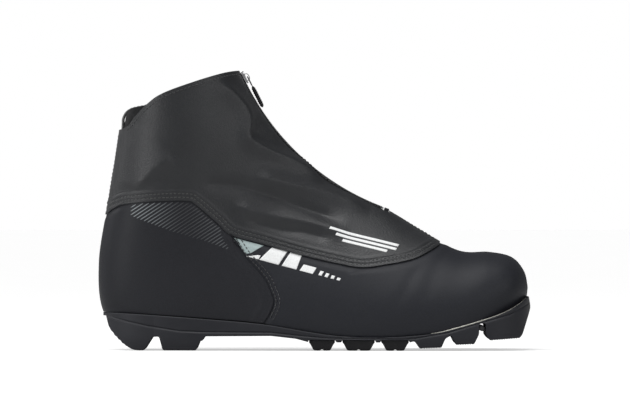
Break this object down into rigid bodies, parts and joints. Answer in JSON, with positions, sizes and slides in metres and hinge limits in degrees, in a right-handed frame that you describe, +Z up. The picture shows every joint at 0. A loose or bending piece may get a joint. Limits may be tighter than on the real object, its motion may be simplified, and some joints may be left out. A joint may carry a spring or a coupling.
{
  "type": "cross country ski boot",
  "caption": "Ankle-height cross-country touring ski boot with a zipped lace cover, heel pull loop, lugged rubber sole and toe bars for a ski binding.",
  "frame": {"origin": "centre of the bounding box's bottom face: the tread's standing plane under the middle of the boot", "axes": "+X heel to toe, +Y to the boot's left (medial) side, +Z up"},
  "size_m": [0.302, 0.099, 0.1954],
  "materials": {
    "softshell": "black water-resistant softshell, faint weave, soft sheen",
    "vamp_skin": "smooth blue-black synthetic leather",
    "heel_skin": "smooth black synthetic leather with a light printed hatch",
    "stiffener": "matt thermoplastic stiffener",
    "lining": "charcoal fleece",
    "webbing": "black woven webbing",
    "zip_tape": "black woven tape",
    "zip_teeth": "black moulded teeth",
    "zip_metal": "plated die casting",
    "pull_rubber": "matt black moulded rubber",
    "eyelet_metal": "black lacquered metal",
    "lace": "black flat braid",
    "sole_rubber": "blue-black moulded rubber, satin",
    "tread_rubber": "black soft tread rubber, matt",
    "bar_steel": "ground steel bar",
    "shank_steel": "spring steel strip",
    "board": "pressed fibre board",
    "footbed_foam": "knit-covered foam"
  },
  "bodies": {
    "boot": {"cuff_left": "softshell", "cuff_right": "softshell", "heel_panel": "heel_skin", "vamp": "vamp_skin", "heel_counter": "stiffener", "toe_puff": "stiffener", "liner": "lining", "tongue": "lining", "eyestay_left": "webbing", "eyestay_right": "webbing", "eyelet_left_1": "eyelet_metal", "eyelet_left_2": "eyelet_metal", "eyelet_left_3": "eyelet_metal", "eyelet_left_4": "eyelet_metal", "eyelet_left_5": "eyelet_metal", "eyelet_right_1": "eyelet_metal", "eyelet_right_2": "eyelet_metal", "eyelet_right_3": "eyelet_metal", "eyelet_right_4": "eyelet_metal", "eyelet_right_5": "eyelet_metal", "lace_bar_1": "lace", "lace_bar_2": "lace", "lace_bar_3": "lace", "lace_bar_4": "lace", "lace_bar_5": "lace", "zip_bottom_stop": "zip_metal", "heel_loop": "webbing", "outsole": "sole_rubber", "ball_tread_1": "tread_rubber", "ball_tread_2": "tread_rubber", "ball_tread_3": "tread_rubber", "toe_bar_front": "bar_steel", "toe_bar_rear": "bar_steel", "shank": "shank_steel", "lasting_board": "board", "footbed": "footbed_foam"},
    "zip_slider": {"zip_slider": "zip_metal"},
    "zip_pull": {"zip_pull_link": "zip_metal", "zip_pull_grip": "pull_rubber"},
    "cover_left": {"cover_front_left": "softshell", "zip_tape_left": "zip_tape", "zip_teeth_left": "zip_teeth"},
    "cover_right": {"cover_front_right": "softshell", "zip_tape_right": "zip_tape", "zip_teeth_right": "zip_teeth"}
  },
  "joints": [
    {"name": "zip_travel", "type": "hinge", "parent": "boot", "child": "zip_slider", "pos_m": [0.1095, 0, 0.2639], "axis": [0, -1, 0], "range_deg": [0, 41.5]},
    {"name": "zip_pull_swing", "type": "hinge", "parent": "zip_slider", "child": "zip_pull", "pos_m": [-0.04684, 0, 0.19089], "axis": [0, -1, 0], "range_deg": [0, 150]},
    {"name": "cover_left_open", "type": "hinge", "parent": "boot", "child": "cover_left", "pos_m": [-0.138, 0, 0.152], "axis": [-0.8954, -0.1809, 0.407], "range_deg": [0, 24], "deforming": ["cover_front_left", "zip_tape_left", "zip_teeth_left"]},
    {"name": "cover_right_open", "type": "hinge", "parent": "boot", "child": "cover_right", "pos_m": [-0.138, 0, 0.152], "axis": [0.8954, -0.1809, -0.407], "range_deg": [0, 24], "deforming": ["cover_front_right", "zip_tape_right", "zip_teeth_right"]}
  ],
  "couplings": [
    {"joint": "cover_left_open", "follows": "zip_travel", "ratio": 0.578},
    {"joint": "cover_right_open", "follows": "zip_travel", "ratio": 0.578}
  ]
}
